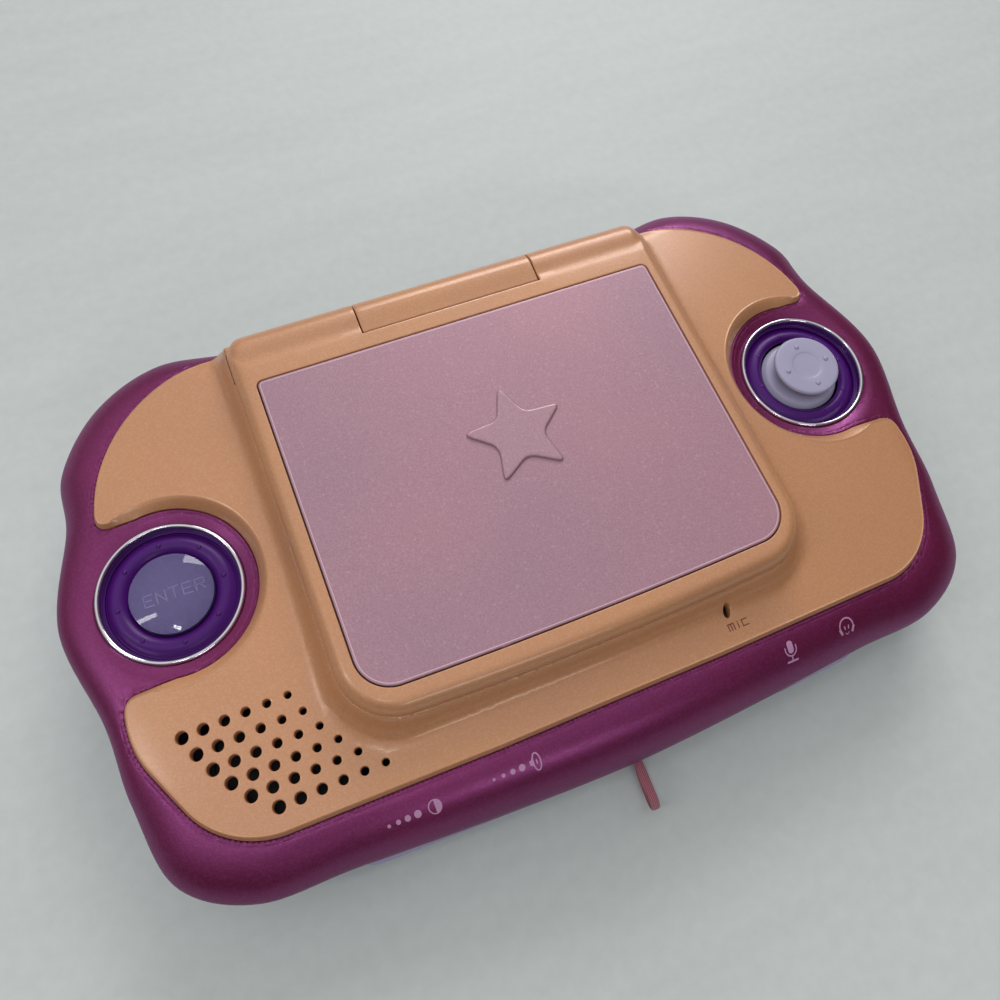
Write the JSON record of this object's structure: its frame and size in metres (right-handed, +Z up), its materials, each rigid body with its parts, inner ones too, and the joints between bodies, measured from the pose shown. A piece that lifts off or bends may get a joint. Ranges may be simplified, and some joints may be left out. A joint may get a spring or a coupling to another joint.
{
  "type": "clamshell handheld game console",
  "caption": "Closed clamshell handheld console: lobed base with a round control pod each side, a joystick, an enter button, and a screen lid hinged along the back.",
  "frame": {"origin": "centre of the base outline on the table, below the middle of the body; the cord loop at the front is left out", "axes": "+Z up, +Y from the front edge with the cord loop to the hinge at the back, +X to the right-hand pod with the joystick"},
  "size_m": [0.248, 0.1663, 0.0502],
  "materials": {
    "peach_plastic": "pearlescent orange-peach moulding",
    "magenta_plastic": "pearlescent purple-magenta moulding",
    "lilac_plastic": "fine satin lilac moulding",
    "violet_plastic": "glossy dark violet",
    "stick_plastic": "satin grey-lilac",
    "chrome_trim": "bright plated rings",
    "steel_parts": "plain zinc-plated steel",
    "tray_plastic": "satin plum",
    "dark_plastic": "plain black moulding",
    "circuit_board": "green solder mask",
    "silicone_rubber": "grey silicone mat",
    "black_rubber": "black rubber pads",
    "cell_jacket": "printed film over a steel can",
    "tape_fabric": "woven dusty-pink tape",
    "button_plastic": "metallic violet",
    "clear_lens": "clear polished lens",
    "panel_plastic": "sparkling mauve-pink under a clear cover",
    "red_plastic": "glossy red",
    "yellow_plastic": "glossy yellow",
    "blue_plastic": "glossy blue",
    "green_plastic": "glossy green"
  },
  "bodies": {
    "base": {"deck_panel": "peach_plastic", "hinge_cover": "peach_plastic", "upper_shell": "magenta_plastic", "lower_shell": "lilac_plastic", "left_dish": "violet_plastic", "right_dish": "violet_plastic", "left_ring": "chrome_trim", "right_ring": "chrome_trim", "hinge_pins": "steel_parts", "loop_anchor": "steel_parts", "case_screws": "steel_parts", "battery_contacts": "steel_parts", "tablet_frame": "tray_plastic", "touch_tablet": "dark_plastic", "speaker": "dark_plastic", "stick_housing": "dark_plastic", "cartridge_bay": "dark_plastic", "mic_socket": "dark_plastic", "headphone_socket": "dark_plastic", "power_socket": "dark_plastic", "stylus_tube": "dark_plastic", "mic_capsule": "dark_plastic", "main_board": "circuit_board", "key_board": "circuit_board", "key_membrane": "silicone_rubber", "rubber_feet": "black_rubber", "battery_cells": "cell_jacket", "tape_loop": "tape_fabric"},
    "lid": {"lid_shell": "peach_plastic", "lid_panel": "panel_plastic", "lid_bezel": "tray_plastic", "screen_window": "clear_lens", "screen_module": "dark_plastic", "lid_screws": "steel_parts"},
    "enter": {"enter_button": "button_plastic", "enter_lens": "clear_lens"},
    "gimbal": {"gimbal_ring": "dark_plastic", "gimbal_pins": "steel_parts"},
    "stick": {"stick_shaft": "steel_parts", "stick_skirt": "stick_plastic", "stick_cap": "stick_plastic"},
    "contrast_wheel": {"contrast_wheel": "lilac_plastic"},
    "volume_wheel": {"volume_wheel": "lilac_plastic"},
    "battery_door": {"battery_door": "lilac_plastic", "door_screw": "steel_parts"},
    "stylus": {"stylus": "lilac_plastic"},
    "key_red": {"key_red": "red_plastic"},
    "key_yellow": {"key_yellow": "yellow_plastic"},
    "key_blue": {"key_blue": "blue_plastic"},
    "key_green": {"key_green": "green_plastic"},
    "key_menu_left": {"key_menu_left": "lilac_plastic"},
    "key_menu_middle": {"key_menu_middle": "lilac_plastic"},
    "key_menu_right": {"key_menu_right": "lilac_plastic"}
  },
  "joints": [
    {"name": "lid_hinge", "type": "hinge", "parent": "base", "child": "lid", "pos_m": [0, 0.05695, 0.0433], "axis": [-1, 0, 0], "range_deg": [0, 135]},
    {"name": "enter_press", "type": "slide", "parent": "base", "child": "enter", "axis": [0, 0, -1], "range_m": [0, 0.0012], "stiffness_N_per_m": 700, "springref_m": -0.0003},
    {"name": "gimbal_tilt", "type": "hinge", "parent": "base", "child": "gimbal", "pos_m": [0.0938, 0.00505, 0.0225], "axis": [0, 1, 0], "range_deg": [-12, 12], "stiffness_Nm_per_rad": 0.06},
    {"name": "stick_tilt", "type": "hinge", "parent": "gimbal", "child": "stick", "pos_m": [0.0938, 0.00505, 0.0225], "axis": [1, 0, 0], "range_deg": [-12, 12], "stiffness_Nm_per_rad": 0.06},
    {"name": "key_red_press", "type": "slide", "parent": "base", "child": "key_red", "axis": [0, 0, -1], "range_m": [0, 0.0009], "stiffness_N_per_m": 500, "springref_m": -0.0002},
    {"name": "key_yellow_press", "type": "slide", "parent": "base", "child": "key_yellow", "axis": [0, 0, -1], "range_m": [0, 0.0009], "stiffness_N_per_m": 500, "springref_m": -0.0002},
    {"name": "key_blue_press", "type": "slide", "parent": "base", "child": "key_blue", "axis": [0, 0, -1], "range_m": [0, 0.0009], "stiffness_N_per_m": 500, "springref_m": -0.0002},
    {"name": "key_green_press", "type": "slide", "parent": "base", "child": "key_green", "axis": [0, 0, -1], "range_m": [0, 0.0009], "stiffness_N_per_m": 500, "springref_m": -0.0002},
    {"name": "key_menu_left_press", "type": "slide", "parent": "base", "child": "key_menu_left", "axis": [0, 0, -1], "range_m": [0, 0.0009], "stiffness_N_per_m": 500, "springref_m": -0.0002},
    {"name": "key_menu_middle_press", "type": "slide", "parent": "base", "child": "key_menu_middle", "axis": [0, 0, -1], "range_m": [0, 0.0009], "stiffness_N_per_m": 500, "springref_m": -0.0002},
    {"name": "key_menu_right_press", "type": "slide", "parent": "base", "child": "key_menu_right", "axis": [0, 0, -1], "range_m": [0, 0.0009], "stiffness_N_per_m": 500, "springref_m": -0.0002},
    {"name": "contrast_turn", "type": "hinge", "parent": "base", "child": "contrast_wheel", "pos_m": [-0.057, -0.06365, 0.0136], "axis": [0, 0, 1], "range_deg": [-135, 135]},
    {"name": "volume_turn", "type": "hinge", "parent": "base", "child": "volume_wheel", "pos_m": [-0.027, -0.06485, 0.0136], "axis": [0, 0, 1], "range_deg": [-135, 135]},
    {"name": "battery_door_hinge", "type": "hinge", "parent": "base", "child": "battery_door", "pos_m": [0, -0.05027, 0.002], "axis": [-1, 0, 0], "range_deg": [0, 60]},
    {"name": "stylus_slide", "type": "slide", "parent": "base", "child": "stylus", "axis": [1, 0, 0], "range_m": [0, 0.09]}
  ]
}
